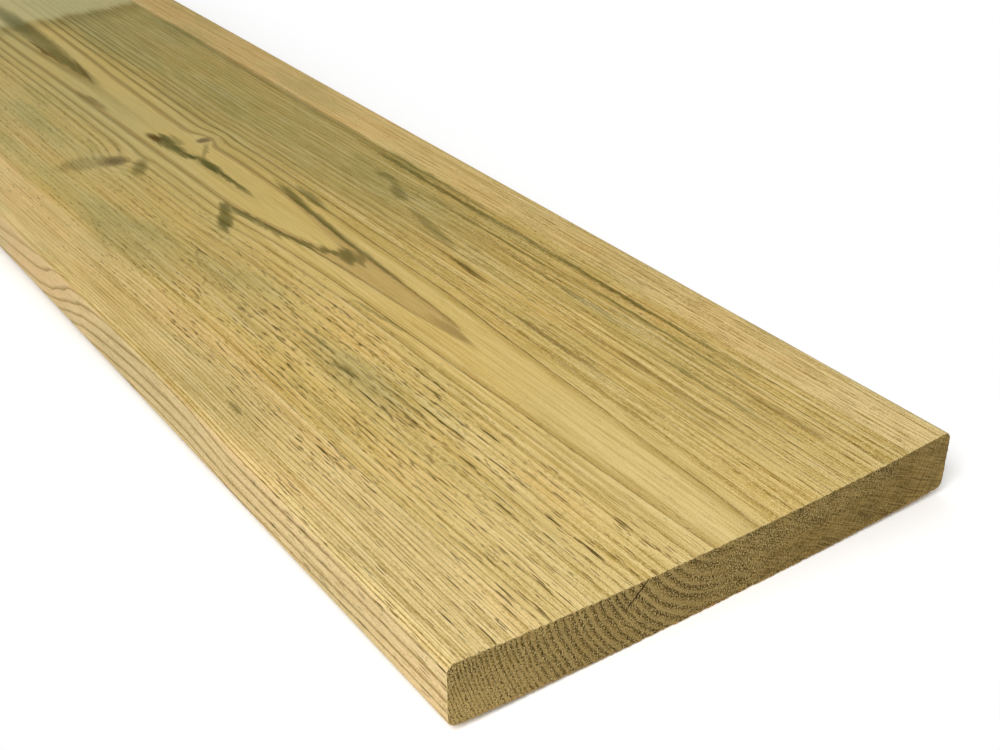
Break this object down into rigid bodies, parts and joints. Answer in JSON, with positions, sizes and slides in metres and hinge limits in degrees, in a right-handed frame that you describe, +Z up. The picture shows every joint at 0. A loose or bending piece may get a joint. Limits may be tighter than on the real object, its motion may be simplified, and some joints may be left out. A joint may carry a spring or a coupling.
{
  "type": "rectangular cladding board",
  "caption": "Flat rectangular exterior cladding board of treated softwood, planed with eased long arrises, sawn square ends and a slight cup across its width.",
  "frame": {"origin": "under the middle of the board, on the line where its cupped back touches the floor", "axes": "+X along the grain towards the end shown in the picture, +Y across the board, +Z up out of the face"},
  "size_m": [1.8, 0.195, 0.0246],
  "materials": {
    "treated_softwood": "planed, bare treated wood, matt"
  },
  "bodies": {
    "root": {"board": "treated_softwood"}
  },
  "joints": []
}
